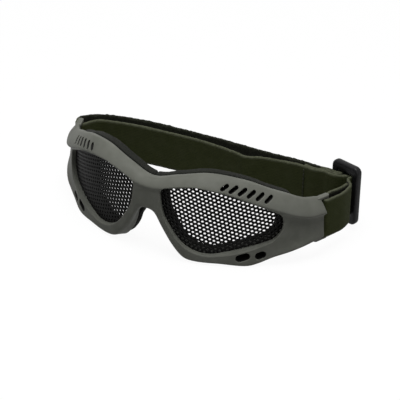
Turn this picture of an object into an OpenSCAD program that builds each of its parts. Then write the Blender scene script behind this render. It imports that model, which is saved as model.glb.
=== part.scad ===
// Wraparound mesh goggles: moulded frame, two perforated steel lenses, foam pads,
// and one elastic strap that is shortened by a sliding buckle.
// The origin is the middle of the nose arch. +Y points to the back of the head, +Z up.

/* [Wrap] */
// Radius of the front face about the upright wrap axis
front_r = 97; // [92:1:106]
// Distance from the front face back to the middle of the nose arch
nose_set = 2; // [1:0.5:4]
// Angle from the middle at which each temple wall ends
temple_a = 63.8; // [61:0.2:65]
// Depth of the moulding from front to back around the lenses
rim_depth = 9; // [8:0.5:12]
// Thickness of the temple walls
temple_t = 5.8; // [5:0.1:6.4]

/* [Heights above the lowest rim] */
// Upper corner line of an opening
open_top_h = 49; // [45:0.5:54]
// Lower corner line of an opening
open_low_h = 3; // [2.4:0.1:3.4]
// Rise of the brow ridge over the top of an opening
rim_over_open = 0.6; // [0.2:0.1:1.6]
// Rise of the brow's crest over its ridge
brow_rise = 6.6; // [5:0.2:9]
// Drop of the brow ridge at the bridge
ridge_dip = 5.6; // [4.6:0.2:7]
// Drop of the top edge at the bridge
bridge_dip = 8; // [6:0.2:10]
// Underside of the nose arch
arch_h = 29.3; // [26:0.1:32]
// Brow ridge at the temple
temple_ridge_h = 28.6; // [26:0.2:30]
// Top edge of the temple
temple_top_h = 37.8; // [36.5:0.1:40]
// Lower edge of the temple
temple_low_h = 12; // [10.8:0.2:14]

/* [Lens openings] */
// Angle from the middle at which each lens faces
lens_yaw = 26; // [25:0.5:27]
// Reach of an opening towards the nose
open_in = 34; // [33:0.5:35]
// Reach of an opening towards the temple
open_out = 36.6; // [36:0.1:38]
// Width of the lip that holds a lens
lip_w = 1.6; // [1.2:0.1:2]

/* [Steel lenses] */
// Sheet thickness
lens_t = 0.8; // [0.5:0.1:1.2]
// Distance from the front face back to a lens
lens_set = 3; // [2.5:0.1:4]
// Distance between neighbouring holes
hole_pitch = 2.6; // [2.2:0.1:3.4]
// Hole diameter
hole_d = 1.55; // [1:0.05:1.7]
// Lean of the rows of holes
hole_lean = 11; // [0:1:30]

/* [Vents] */
// Vent slots on each side of the brow
vent_n = 6; // [2:1:6]
// Angle of the first slot
vent_a = 27.6; // [26:0.1:30]
// Angle between slots
vent_step = 3.05; // [2.6:0.05:3.1]
// Length of a slot
vent_l = 6.1; // [4.5:0.1:6.6]
// Width of a slot
vent_w = 2.2; // [1.6:0.1:2.4]
// Height of a lower air hole
port_h = 3.7; // [3:0.1:4]
// Length of the inner lower air hole
port_l = 7.6; // [5:0.1:8]
// Angle of the inner lower air hole
port_a = 34.6; // [33:0.1:35]

/* [Foam pads] */
// Thickness of the foam behind the frame
foam_t = 5; // [3:0.5:8]
// Widest foam round an eye
foam_w = 12; // [9:0.5:13]

/* [Strap] */
// Width of the elastic
strap_w = 25; // [22:0.5:25.5]
// Thickness of the elastic
strap_t = 1.6; // [1.2:0.1:1.8]
// Clearance between the elastic and what it passes
strap_gap = 0.3; // [0.2:0.05:0.4]
// Middle of the strap above the lowest rim
strap_h = 22.5; // [22:0.1:22.9]
// Radius of the upright bar that the strap loops round
post_r = 1.6; // [1.4:0.1:1.9]
// Distance of the bar inside the front radius
post_set = 5.2; // [4.8:0.1:5.6]
// Thickness of the arms that carry the bar
arm_t = 1.6; // [1.4:0.1:2.4]
// Distance of the near loop's seam behind the bar
seam_back = 19.5; // [18:0.5:21]
// Distance of the sewn side of the near loop outwards from the bar
seam_out = 2.5; // [2.3:0.1:2.5]

/* [Slider] */
// Height of the slider
slider_h = 38; // [36:0.5:40]
// Thickness of the slider's rim
slider_t = 4.6; // [4:0.1:5.5]
// Width of its side members
side_w = 4.4; // [3.5:0.1:5]
// Width of its middle bar
bar_w = 3; // [2.5:0.1:4]
// Thickness of its middle bar
bar_t = 2.4; // [2:0.1:3]
// Distance of its middle inwards from the upright bar
slider_in = 3.1861; // [2:0.0001:4.2]
// Distance of its middle behind the upright bar
slider_back = 32; // [30:0.5:36]
// Turn of the slider as the strap pulls it round the head
slider_turn = 14; // [8:1:16]

/* [Hidden] */
$fn = 48;
axis_y = front_r - nose_set;
lens_r = front_r - lens_set;
rear_r = front_r - rim_depth;
tip_a = temple_a + 0.8;
eye_ridge_h = open_top_h + rim_over_open;
crest_h = eye_ridge_h + brow_rise;
bridge_ridge_h = eye_ridge_h - ridge_dip;
bridge_top_h = crest_h - bridge_dip;
eps = 0.01;

// Smooth curve through the points p = [[x, value], ...], level at x = 0
function tangent(p, i) = let (n = len(p) - 1)
    i == 0 ? 0
    : i == n ? (p[n][1] - p[n - 1][1]) / (p[n][0] - p[n - 1][0])
    : (p[i + 1][1] - p[i - 1][1]) / (p[i + 1][0] - p[i - 1][0]);
function interval(p, x, i = 0) = i >= len(p) - 2 || x < p[i + 1][0] ? i : interval(p, x, i + 1);
function curve(p, x) = let (i = interval(p, x), w = p[i + 1][0] - p[i][0], t = (x - p[i][0]) / w,
        a = tangent(p, i) * w, b = tangent(p, i + 1) * w, s = t * t * (3 - 2 * t))
    p[i][1] * (1 - s) + p[i + 1][1] * s + a * t * (1 - t) * (1 - t) - b * t * t * (1 - t);

// Edges of the frame as angle from the middle against height or radius
open_edge_a = lens_yaw + 22;
top_edge = [[0, bridge_top_h], [lens_yaw * 0.4, bridge_top_h * 0.45 + crest_h * 0.55],
    [lens_yaw * 0.85, crest_h], [lens_yaw + 9, crest_h - 3.4], [lens_yaw + 19, crest_h - 9.9],
    [temple_a - 7, temple_top_h + 1.2], [temple_a - 2, temple_top_h],
    [temple_a - 0.6, temple_top_h - 1.2], [temple_a + 0.2, temple_top_h - 3.2], [tip_a, temple_ridge_h + 3.4]];
ridge = [[0, bridge_ridge_h], [lens_yaw * 0.27, bridge_ridge_h + 1.7], [lens_yaw * 0.62, eye_ridge_h],
    [lens_yaw, eye_ridge_h - 0.6], [lens_yaw + 9, eye_ridge_h - 5.6], [open_edge_a - 3, eye_ridge_h - 12.6],
    [open_edge_a + 5, temple_ridge_h + 2.8], [temple_a - 6, temple_ridge_h + 0.6],
    [tip_a, temple_ridge_h]];
low_edge = [[0, arch_h], [3, arch_h - 2.7], [6, arch_h - 11], [10, arch_h - 19.7], [14, 3],
    [18, 1.3], [27, 1.1], [36, 0], [40, 1.5], [46, 5.6], [temple_a - 6, temple_low_h - 1.3],
    [tip_a, temple_low_h + 0.6]];
top_r = [[0, front_r - 4], [12, front_r - 5.4], [40, front_r - 6], [temple_a - 7, front_r - 4.6],
    [tip_a, front_r - 4]];
back_r = [[0, rear_r], [lens_yaw + 24, rear_r], [temple_a - 7, front_r - temple_t],
    [tip_a, front_r - temple_t]];
overhang = [[0, 0.4], [16, 0.9], [40, 1.3], [52, 2], [temple_a - 6, 2.1], [tip_a, 1.5]];
// Outward flare of the lower edge at the cheek, and the rounding and rearward drop of the nose flanks
flare = [[0, 0], [41, 0], [46, 0.8], [51, 1.8], [57, 1.8], [tip_a, 0.7]];
rounding = [[0, 1.6], [3.5, 4.6], [7, 4.6], [10.5, 2.6], [14, 1.7], [20, 1.2], [tip_a, 1.2]];
drop = [[0, -0.5], [2.8, -2.5], [5, -4.4], [6, -3.6], [7.2, 0.9], [8.8, 3.3], [11.6, 3.7], [14, 2.2],
    [17.5, 0.7], [22, 0], [tip_a, 0]];
waist = [[0, 0], [44, 0], [52, 0.6], [tip_a, 0.6]];

// Point at radius r, angle a from the middle and height h above the lowest rim
function at(r, a, h) = [r * sin(a), axis_y - r * cos(a), h];
// Share t of the way from a to b
function mix(a, b, t) = a * (1 - t) + b * t;

// Closed outline through convex corners [x, y, radius], moved outwards by off
function rounded(c, off = 0, steps = 7) = [for (i = [0:len(c) - 1])
    let (p = [c[i][0], c[i][1]], n = len(c), q = c[(i + n - 1) % n], s = c[(i + 1) % n],
        a = [q[0], q[1]] - p, b = [s[0], s[1]] - p, u = a / norm(a), v = b / norm(b),
        half = acos(u * v) / 2, m = (u + v) / norm(u + v), mid = p + m * c[i][2] / sin(half),
        a0 = atan2(-m[1], -m[0]), side = sign(u[0] * v[1] - u[1] * v[0]))
    for (k = [0:steps]) let (g = a0 - side * (90 - half) * (2 * k / steps - 1))
        mid + (c[i][2] + off) * [cos(g), sin(g)]];

// Corners of a lens opening, across and up from its lower line, in the plane that the lens faces,
// drawn at one height and then drawn out to the opening's own
drawn_h = 46;
open_h = open_top_h - open_low_h;
open_corners = [[-open_in, 40.9, 4], [-14, drawn_h, 19], [7.5, 42.3, 33], [open_out - 0.8, 28.5, 6.4],
    [open_out, 14.2, 11.5], [-16.4, 0, 22.5], [1.7 - open_in, 25.1, 26.5]];
function opening(off = 0) = [for (p = rounded(open_corners, off)) [p[0], open_low_h + p[1] * open_h / drawn_h]];
open_outline = opening();
// A point is inside a convex outline when it is on the inner side of every edge
function inside(p, c) = min([for (i = [0:len(c) - 1]) let (a = c[i], b = c[(i + 1) % len(c)])
    norm(b - a) < 0.001 ? 1 : (p[0] - a[0]) * (b[1] - a[1]) - (p[1] - a[1]) * (b[0] - a[0])]) > 0;

// Solid through rings of points: capped at both ends, or closed into a loop
module loft(rings, loop = false) {
    n = len(rings);
    m = len(rings[0]);
    last = loop ? n - 1 : n - 2;
    sides = [for (i = [0:last], j = [0:m - 1]) let (a = i * m + j, b = i * m + (j + 1) % m,
            c = ((i + 1) % n) * m + (j + 1) % m, d = ((i + 1) % n) * m + j)
        each [[a, b, c], [a, c, d]]];
    caps = loop ? [] : [[for (j = [m - 1:-1:0]) j], [for (j = [0:m - 1]) (n - 1) * m + j]];
    polyhedron([for (r = rings) each r], concat(sides, caps));
}

// Puts heights that are counted from the lowest rim about the nose arch
module at_nose() translate([0, 0, -arch_h]) children();
module both_sides() {
    children();
    mirror([1, 0, 0]) children();
}
// Solid of outlines [offset, radius along the direction that a lens faces, growth upwards]
module lens_cut(steps) translate([0, axis_y, 0]) rotate([90, 0, lens_yaw])
    loft([for (s = steps) [for (p = opening(s[0])) [p[0], p[1] + s[2] * (p[1] - open_low_h) / open_h, s[1]]]]);
// Part of the wrap between two radii
module wrap_shell(r0, r1) translate([0, axis_y, -5]) difference() {
    cylinder(h = 80, r = r1, $fn = 180);
    translate([0, 0, -1]) cylinder(h = 82, r = r0, $fn = 180);
}

// Section of the frame at angle a, as radius and height, from the lower outer edge upwards
function frame_section(a) = let (x = abs(a), zb = curve(low_edge, x), zr = curve(ridge, x),
        zt = curve(top_edge, x), rt = curve(top_r, x), rb = curve(back_r, x), o = curve(overhang, x),
        f = curve(flare, x), c = curve(rounding, x), zd = max(zb - curve(drop, x), 0.1), w = curve(waist, x))
    [[front_r + f - 1 - c * 0.3, mix(zb, zd, 0.2)], [front_r + f - 0.12 * c, zb + 0.4 * c],
        [front_r + f, zb + c + 0.6], [front_r + f * 0.5 - w * 0.5, zb + c + 4],
        [front_r - w, zr - 2.2], [front_r + o * 0.8, zr - 0.9],
        [front_r + o, zr + 0.2], [mix(front_r + o, rt, 0.3) + 0.6, mix(zr, zt, 0.33)],
        [mix(front_r + o, rt, 0.7) + 0.6, mix(zr, zt, 0.72)], [rt + 0.5, zt - 0.5],
        [rt - 0.5, zt], [min(rb + 0.9, rt - 1.1), zt - 0.2], [rb, zt - 1], [rb, zd + 1], [rb + 0.9, zd]];
end_steps = [2.2, 1.2, 0.5, 0];
half_angles = concat([for (i = [1:12]) i * 1.4], [for (i = [1:22]) mix(16.8, tip_a - 3.2, i / 22)],
    [for (e = end_steps) tip_a - e]);
frame_angles = concat([for (i = [len(half_angles) - 1:-1:0]) -half_angles[i]], [0], half_angles);
module frame_body() loft([for (a = frame_angles) [for (p = frame_section(a)) at(p[0], a, p[1])]]);

// Stadium-shaped cutter of length l and width w, standing on its own plane
module stadium(l, w, h) hull() for (s = [-1, 1])
    translate([s * (l - w) / 2, 0, 0]) cylinder(h = h, d = w, center = true, $fn = 16);

// Slots leaning through the sloping brow, the first one shorter
vent_lean = 33;
vent_tilt = 12;
module vents() for (k = [0:vent_n - 1]) {
    a = vent_a + k * vent_step;
    t = 0.38 + 0.02 * k;
    r = mix(front_r + curve(overhang, a), curve(top_r, a), t) + 0.6;
    translate(at(r, a, mix(curve(ridge, a), curve(top_edge, a), t))) rotate([90 - vent_tilt, 0, a])
        rotate([0, 0, vent_lean]) stadium(vent_l - (k == 0 ? 0.8 : 0), vent_w, 20);
}
// Two oblong air holes through the cheek rim, each opening into a scoop
module ports() for (k = [0, 1]) {
    a = port_a + k * 6.1;
    translate(at(front_r, a, curve(low_edge, a) + 6.1 - k * 0.8)) rotate([90, 0, a])
        rotate([0, 0, 18 + k * 3]) {
            stadium(port_l - k * 2, port_h, 2 * rim_depth + 6);
            hull() for (s = [-1, 1], d = [0, 1])
                translate([s * (port_l - 2 * k - port_h) / 2, 0, d * 4 - 1.5])
                    cylinder(h = eps, d = port_h + d * 1.6, $fn = 16);
        }
}

// The upright bar, its radius from the wrap axis and its middle
post_a = temple_a + 2.7;
post_wrap_r = front_r - post_set;
post = [post_wrap_r * sin(post_a), axis_y - post_wrap_r * cos(post_a)];
slot_h = strap_w + 2 * strap_gap;
module post_arm(h) hull() {
    translate([post[0], post[1], h]) cylinder(h = arm_t, r = post_r + 0.05, $fn = 20);
    translate(at(post_wrap_r + 0.8, temple_a - 1.4, h)) cylinder(h = arm_t, r = post_r + 0.15, $fn = 20);
}
module strap_post() {
    translate([post[0], post[1], strap_h - slot_h / 2 - eps])
        cylinder(h = slot_h + 2 * eps, r = post_r, $fn = 20);
    post_arm(strap_h + slot_h / 2);
    post_arm(strap_h - slot_h / 2 - arm_t);
    hull() {
        translate(at(post_wrap_r + 0.8, temple_a - 1.4, strap_h - slot_h / 2 - arm_t))
            cylinder(h = arm_t + 3.5, r = post_r + 0.1, $fn = 20);
        translate(at(post_wrap_r + 1.3, temple_a - 3.4, temple_low_h)) cylinder(h = 4, r = 1.5, $fn = 20);
    }
}
// Room round the bar for the strap's fold
module fold_room() translate([post[0], post[1], strap_h - slot_h / 2])
    cylinder(h = slot_h, r = post_r + strap_t + 3 * strap_gap, $fn = 40);
module frame_shell() at_nose() color([0.33, 0.34, 0.31]) difference() {
    union() {
        difference() {
            frame_body();
            both_sides() fold_room();
            both_sides() tip_cut();
        }
        both_sides() strap_post();
    }
    both_sides() {
        lens_cut([[0, 50, 0], [0, lens_r - lens_t, 0], [1.2, front_r + 4, 2.4]]);
        intersection() {
            wrap_shell(lens_r - lens_t - 0.15, lens_r + 0.15);
            lens_cut([[lip_w + 0.2, 60, 0], [lip_w + 0.2, front_r + 4, 0]]);
        }
        vents();
        ports();
    }
}
// Below the ridge the wall stops short of the brow's tip
module tip_cut() translate([0, axis_y, 0]) rotate([0, 0, temple_a - 90]) translate([0, 0, -1])
    cube([front_r + 8, 10, temple_ridge_h + 0.4]);

lens_outline = opening(lip_w);
// Row and column numbers that cover a lens
hole_rows = ceil(60 / hole_pitch);
module lens_holes() for (i = [-hole_rows:hole_rows], j = [-hole_rows:hole_rows]) {
    s = i * hole_pitch * sqrt(3) / 2;
    t = (j + abs(i) % 2 / 2) * hole_pitch;
    g = s * cos(hole_lean) - t * sin(hole_lean);
    h = s * sin(hole_lean) + t * cos(hole_lean) + (open_low_h + open_top_h) / 2;
    c = [lens_r * sin(g / lens_r * 180 / PI), h];
    if (abs(g) < 45 && inside(c, open_outline)) translate(c) circle(d = hole_d, $fn = 16);
}
module lens() translate([0, 0, -arch_h]) intersection() {
    wrap_shell(lens_r - lens_t, lens_r);
    translate([0, axis_y, 0]) rotate([90, 0, lens_yaw]) translate([0, 0, lens_r - 20])
        linear_extrude(24) difference() {
            polygon(lens_outline);
            lens_holes();
        }
}
// Left and right are the wearer's, so the left is at +X
module lens_left() color([0.1, 0.1, 0.1]) lens();
module lens_right() color([0.1, 0.1, 0.1]) mirror([1, 0, 0]) lens();

// Foam ring round an eye: inner edge just outside the opening, outer edge inside the frame's outline
foam_n = 48;
foam_gap = 0.3;
foam_inner = opening(0.6);
foam_section = [[0, 0], [0.5, 0], [1, 0], [1.02, 0.4], [0.93, 0.8], [0.68, 1], [0.4, 1], [0.1, 0.82], [-0.02, 0.4]];
function deg(s) = s / rear_r * 180 / PI;
function covered(a, z) = a >= deg(0.2) && a <= temple_a - 7
    && z >= curve(low_edge, a) - max(curve(drop, a), 0) + 0.8
    && z <= curve(top_edge, a) - 0.5;
function reach(a, z, d, t = 1) = t < 0.12 || covered(a + deg(d[0] * t), z + d[1] * t) ? t : reach(a, z, d, t - 0.04);
function foam_ring(k) = let (n = len(foam_inner), i = round(k * n / foam_n) % n, p = foam_inner[i],
        d = foam_inner[(i + 1) % n] - foam_inner[(i + n - 1) % n], out = [-d[1], d[0]] / norm(d) * foam_w,
        a0 = lens_yaw + asin(p[0] / front_r), t = reach(a0, p[1], out))
    [for (s = foam_section) let (a = a0 + deg(out[0] * t * s[0]),
        r = curve(back_r, abs(a)) - foam_gap - s[1] * foam_t) at(r, a, p[1] + out[1] * t * s[0])];
module foam() translate([0, 0, -arch_h]) loft([for (k = [0:foam_n - 1]) foam_ring(k)], true);
module foam_left() color([0.12, 0.12, 0.11]) foam();
module foam_right() color([0.12, 0.12, 0.11]) mirror([1, 0, 0]) foam();

// The strap's route, seen from above. One elastic runs from a sewn loop on the left post, through
// the slider, round the back, round the right post and back to a sewn loop on the slider's bar.
half_t = strap_t / 2;
slider_c = post + [-slider_in, slider_back];
wrap_o = post_r + strap_gap + half_t;
loop_x = bar_w / 2 + strap_gap + half_t;
run_x = loop_x + strap_t + strap_gap;
loop_y = bar_t / 2 + strap_gap + half_t;
run_y = loop_y + strap_t + strap_gap;
slot_w = 2 * strap_t + 3 * strap_gap;
lane = strap_t + 0.45;
front_lane = -slider_t / 2 - strap_gap - half_t;
right_post = [-post[0], post[1]];
// Share of the way from the right post to the slider, and how far the run bows back from that line
outer_run = [[0.885, 2.2], [0.81, 4.6], [0.66, 7.4], [0.57, 10], [0.4, 13.8], [0.18, 16.9], [0.05, 14.6],
    [-0.005, 10.2], [-0.025, 5]];
inner_run = [[0.04, 6], [0.09, 8.4], [0.21, 9.2], [0.43, 6], [0.58, 0.2], [0.63, -2.9], [0.66, -2.3], [0.69, -0.6],
    [0.78, 0.1], [0.84, -0.5], [0.885, -2.6]];
function run_point(p) = right_post + (slider_c - right_post) * p[0] + [0, p[1]];
function from_post(p) = post + p;
function from_slider(p) = slider_c + [p[0] * cos(slider_turn) + p[1] * sin(slider_turn),
    p[1] * cos(slider_turn) - p[0] * sin(slider_turn)];
route = concat(
    [for (p = [[2.6, 21], [2.2, 17.5], [0.9, 12.5], [-1, 7.5]]) from_post(p)],
    [for (g = [185:35:355]) post + wrap_o * [cos(g), sin(g)]],
    [for (p = [[4.4, 5], [5.7, 10.5], [5.7, 16], [4.9, 21]]) from_post(p)],
    [for (p = [[run_x + 0.9, -5], [run_x + 0.1, -2.2], [run_x, 0], [run_x - 0.5, run_y - 1.5],
        [run_x - 2, run_y - 0.2], [0, run_y], [2 - run_x, run_y - 0.2], [0.5 - run_x, run_y - 1.5],
        [-run_x, 0], [-run_x - 0.05, -1.8], [-run_x - 0.35, -2.75], [-run_x - 1.1, front_lane + 0.15],
        [-run_x - 2.4, front_lane], [-run_x - 6, front_lane]]) from_slider(p)],
    [for (p = outer_run) run_point(p)],
    [for (g = [185:35:355]) right_post + wrap_o * [cos(g), sin(g)]],
    [for (p = inner_run) run_point(p)],
    [for (p = [[-11, front_lane - 2 * lane], [-7, front_lane - 2 * lane], [-4, front_lane - 1.7 * lane],
        [-1.6, front_lane - lane], [0.6, -loop_y - 0.85], [loop_x - 0.15, -loop_y + 0.45], [loop_x + 0.05, 0],
        [loop_x - 0.35, loop_y - 0.45], [0.2, loop_y], [-loop_x + 0.6, loop_y - 0.3], [-loop_x, 0.4],
        [-loop_x - 0.15, -1.4], [-loop_x - 0.75, front_lane - 0.15 * lane], [-loop_x - 2.15, front_lane - 0.75 * lane],
        [-loop_x - 4.5, front_lane - lane], [-11, front_lane - lane]]) from_slider(p)],
    [for (p = [[0.885, -1.0], [0.845, 1.1]]) run_point(p)]);
// Smooth path through the route's points
function spline(p, i, t) = let (n = len(p) - 1, a = p[max(i - 1, 0)], b = p[i], c = p[min(i + 1, n)],
        d = p[min(i + 2, n)])
    ((2 * b) + (c - a) * t + (2 * a - 5 * b + 4 * c - d) * t * t + (3 * b - a - 3 * c + d) * t * t * t) / 2;
strap_path = concat([for (i = [0:len(route) - 2], t = [0, 0.5]) spline(route, i, t)], [route[len(route) - 1]]);
strap_section = [[-0.5, -0.44], [-0.28, -0.5], [0.28, -0.5], [0.5, -0.44], [0.5, 0.44], [0.28, 0.5],
    [-0.28, 0.5], [-0.5, 0.44]];
function across(path, i) = let (n = len(path) - 1, d = path[min(i + 1, n)] - path[max(i - 1, 0)])
    [d[1], -d[0]] / norm(d);
module ribbon(path, section, w, t) loft([for (i = [0:len(path) - 1]) let (u = across(path, i))
    [for (s = section) let (q = path[i] + u * s[0] * t) [q[0], q[1], strap_h - arch_h + s[1] * w]]]);
module strap() color([0.2, 0.21, 0.12]) ribbon(strap_path, strap_section, strap_w, strap_t);

// A row of upright stitches on the face of the elastic
stitch_n = 8;
stitch_r = 0.35;
stitch_bow = -1;
module stitch_row(p, yaw) translate([p[0], p[1], strap_h - arch_h]) rotate([0, 0, yaw])
    for (k = [0:stitch_n - 1])
        translate([0, 0, (k - (stitch_n - 1) / 2) * (strap_w - 3) / stitch_n])
            cylinder(h = (strap_w - 3) / stitch_n * 0.7, r = stitch_r, center = true, $fn = 16);
module end_loop_stitching() color([0.14, 0.15, 0.09])
    stitch_row(post + [seam_out - half_t - stitch_r - 0.1, seam_back], 0);
module slider_loop_stitching() color([0.14, 0.15, 0.09])
    stitch_row(run_point([0.85, stitch_bow]) - [0, half_t + stitch_r + 0.1], 0);

// Slider: a rounded plate with two upright slots and a thinner middle bar
slider_w = 2 * (side_w + slot_w) + bar_w;
slider_round = 3.5;
slider_chamfer = 0.8;
slider_slot_h = strap_w + 4 * strap_gap;
function slider_outline(inset) = rounded([for (p = [[-1, -1], [1, -1], [1, 1], [-1, 1]])
    [p[0] * slider_w / 2, p[1] * slider_h / 2, slider_round]], -inset);
module slider() color([0.06, 0.06, 0.06]) translate([slider_c[0], slider_c[1], strap_h - arch_h])
    rotate([0, 0, -slider_turn]) {
    rotate([90, 0, 0]) difference() {
        union() {
            translate([0, 0, -slider_t / 2]) linear_extrude(slider_t) polygon(slider_outline(slider_chamfer));
            translate([0, 0, slider_chamfer - slider_t / 2]) linear_extrude(slider_t - 2 * slider_chamfer)
                polygon(slider_outline(0));
        }
        translate([-bar_w / 2 - slot_w, -slider_slot_h / 2, -slider_t])
            cube([2 * slot_w + bar_w, slider_slot_h, 2 * slider_t]);
    }
    translate([-bar_w / 2, -bar_t / 2, -slider_slot_h / 2 - 1]) cube([bar_w, bar_t, slider_slot_h + 2]);
}

frame_shell();
lens_left();
lens_right();
foam_left();
foam_right();
strap();
end_loop_stitching();
slider_loop_stitching();
slider();
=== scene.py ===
"""Wraparound mesh goggles: a moulded frame, two perforated steel lenses, foam pads and one elastic strap."""
import sys
import logging
import math
from dataclasses import dataclass, field
from enum import Enum
from typing import Mapping, Optional, Sequence, Union

import bmesh
import bpy
import numpy as np
from mathutils import Matrix, Vector


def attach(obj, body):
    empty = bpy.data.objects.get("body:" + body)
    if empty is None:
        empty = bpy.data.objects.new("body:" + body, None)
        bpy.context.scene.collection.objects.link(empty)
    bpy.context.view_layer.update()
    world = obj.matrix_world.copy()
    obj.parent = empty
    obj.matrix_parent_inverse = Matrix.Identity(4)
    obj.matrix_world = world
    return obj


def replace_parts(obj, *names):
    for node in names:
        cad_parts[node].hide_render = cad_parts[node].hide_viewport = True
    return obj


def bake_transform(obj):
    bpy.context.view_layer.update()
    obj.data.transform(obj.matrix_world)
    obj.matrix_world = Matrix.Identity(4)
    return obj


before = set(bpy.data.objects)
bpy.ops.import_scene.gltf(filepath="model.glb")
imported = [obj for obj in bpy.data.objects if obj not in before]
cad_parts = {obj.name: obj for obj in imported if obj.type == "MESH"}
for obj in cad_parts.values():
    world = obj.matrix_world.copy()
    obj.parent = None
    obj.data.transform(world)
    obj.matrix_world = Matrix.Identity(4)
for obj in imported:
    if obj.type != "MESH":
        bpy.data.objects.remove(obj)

LOG = logging.getLogger("goggles")
MM = 0.001
ARCH_H = 29.3  # height of the nose arch, which is the frame's origin, above the lowest rim
STRAP_H = 22.5  # height of the middle of the strap, its bars and the slider above the lowest rim
POST_R = 1.6  # radius of the upright bars that the strap loops round
LIP_TURNS = np.radians([0, 22, 42, 60, 74])  # how far each ring of a rounded lip has turned
Number = Union[int, float]
Value = Union[Number, Sequence[float], "Wire"]


class Body(Enum):
    """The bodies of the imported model."""

    GOGGLES = "goggles"
    SLIDER = "slider"


class Level(Enum):
    """What the depth of a cutter's ring is counted from."""

    PLANE = "a flat plane through the wrap axis"
    WRAP = "the wrap axis itself, as a radius"
    FACE = "the frame's outer face"


class Slot(Enum):
    """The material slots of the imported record."""

    FRAME = "frame"
    LENS = "lens"
    FOAM = "foam"
    STRAP = "strap"
    THREAD = "thread"
    SLIDER = "slider"


# Shaders


class Wire:
    """A shader socket: arithmetic on it adds Math nodes to its material."""

    def __init__(self, shader: "Shader", socket: bpy.types.NodeSocket) -> None:
        """Keeps the material and the socket that the wire leaves."""
        self.shader = shader
        self.socket = socket

    def _math(self, operation: str, a: Value, b: Value = 0.0) -> "Wire":
        """Returns the wire of a Math node that works on a and b."""
        return self.shader.node("ShaderNodeMath", {"operation": operation}, {0: a, 1: b})

    def __add__(self, other: Value) -> "Wire":
        """Returns the sum."""
        return self._math("ADD", self, other)

    def __sub__(self, other: Value) -> "Wire":
        """Returns the difference."""
        return self._math("SUBTRACT", self, other)

    def __rsub__(self, other: Value) -> "Wire":
        """Returns the difference from a number."""
        return self._math("SUBTRACT", other, self)

    def __mul__(self, other: Value) -> "Wire":
        """Returns the product."""
        return self._math("MULTIPLY", self, other)

    def __pow__(self, other: Value) -> "Wire":
        """Returns the power."""
        return self._math("POWER", self, other)

    __radd__ = __add__
    __rmul__ = __mul__

    def sine(self) -> "Wire":
        """Returns the sine of the value in radians."""
        return self._math("SINE", self)

    def larger(self, other: Value) -> "Wire":
        """Returns the larger of two values."""
        return self._math("MAXIMUM", self, other)

    def above(self, low: Number, high: Number) -> "Wire":
        """Returns 0 below low and 1 above high, with a smooth turn between them."""
        return self.shader.node("ShaderNodeMapRange", {"interpolation_type": "SMOOTHSTEP"},
                                {"Value": self, "From Min": low, "From Max": high})


class Shader:
    """A material, or the sky, and the nodes that make it."""

    def __init__(self, name: str, sky: bool = False) -> None:
        """Starts a material that holds one Principled shader, or a sky that holds one Background."""
        self.material = (bpy.data.worlds if sky else bpy.data.materials).new(name)
        self.material.use_nodes = True
        self.tree = self.material.node_tree
        self.surface = self.tree.nodes["Background" if sky else "Principled BSDF"]

    def put(self, socket: bpy.types.NodeSocket, value: Value) -> None:
        """Links a wire to a socket, or sets the socket's own value."""
        if isinstance(value, Wire):
            self.tree.links.new(value.socket, socket)
        elif isinstance(value, (int, float)):
            socket.default_value = value
        else:
            wanted = len(socket.default_value)
            socket.default_value = tuple(value)[:wanted] + (1.0,) * (wanted - len(value))

    def node(self, kind: str, settings: Optional[Mapping[str, object]] = None,
             sockets: Optional[Mapping[Union[int, str], Value]] = None, output: Union[int, str] = 0) -> Wire:
        """Adds any node.

        Args:
            kind: Blender's name of the node's type.
            settings: the node's own settings, which are set first.
            sockets: a value or wire for each named or numbered input.
            output: which output the returned wire leaves.

        Returns:
            The wire of that output.
        """
        made = self.tree.nodes.new(kind)
        for key, value in (settings or {}).items():
            setattr(made, key, value)
        for key, value in (sockets or {}).items():
            self.put(made.inputs[key], value)
        return Wire(self, made.outputs[output])

    def coordinates(self) -> Wire:
        """Returns the object's own coordinates."""
        return self.node("ShaderNodeTexCoord", output="Object")

    def noise(self, size_mm: float, detail: float = 2.0, rough: float = 0.5) -> Wire:
        """Returns noise from 0 to 1 whose blots are about size_mm wide."""
        return self.node("ShaderNodeTexNoise", {}, {"Vector": self.coordinates(), "Scale": 1 / (size_mm * MM),
                                                    "Detail": detail, "Roughness": rough})

    def cells(self, size_mm: float) -> Wire:
        """Returns the distance to the middle of the nearest cell, where cells are about size_mm wide."""
        return self.node("ShaderNodeTexVoronoi", {},
                         {"Vector": self.coordinates(), "Scale": 1 / (size_mm * MM)})

    def attribute(self, name: str) -> Wire:
        """Returns a number that the mesh carries at its points."""
        return self.node("ShaderNodeAttribute", {"attribute_name": name}, output="Fac")

    def weave(self) -> list[Wire]:
        """Returns the two coordinates of the mesh's UV map: along the piece, and across or round it."""
        uv = self.node("ShaderNodeUVMap", {"uv_map": "weave"})
        return [self.node("ShaderNodeSeparateXYZ", {}, {"Vector": uv}, axis) for axis in "XY"]

    def seen(self) -> Wire:
        """Returns 1 on rays from the camera, off gloss and through glass, and 0 on all others."""
        camera, gloss, glass = (self.node("ShaderNodeLightPath", output=f"Is {kind} Ray")
                                for kind in ("Camera", "Glossy", "Transmission"))
        return camera.larger(gloss).larger(glass)

    def mix(self, share: Value, first: Value, second: Value) -> Wire:
        """Returns the colour that goes from first to second as share goes from 0 to 1."""
        return self.node("ShaderNodeMix", {"data_type": "RGBA"}, {0: share, 6: first, 7: second}, 2)

    def bump(self, height: Wire, depth_mm: float, strength: float = 1.0) -> Wire:
        """Returns the normal of a surface raised by height times depth_mm."""
        return self.node("ShaderNodeBump", {},
                         {"Height": height, "Distance": depth_mm * MM, "Strength": strength})

    def finish(self, **sockets: Value) -> bpy.types.ID:
        """Sets the sockets of the shader, with _ for a blank in their names, and returns the material."""
        for key, value in sockets.items():
            self.put(self.surface.inputs[key.replace("_", " ")], value)
        return self.material


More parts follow.
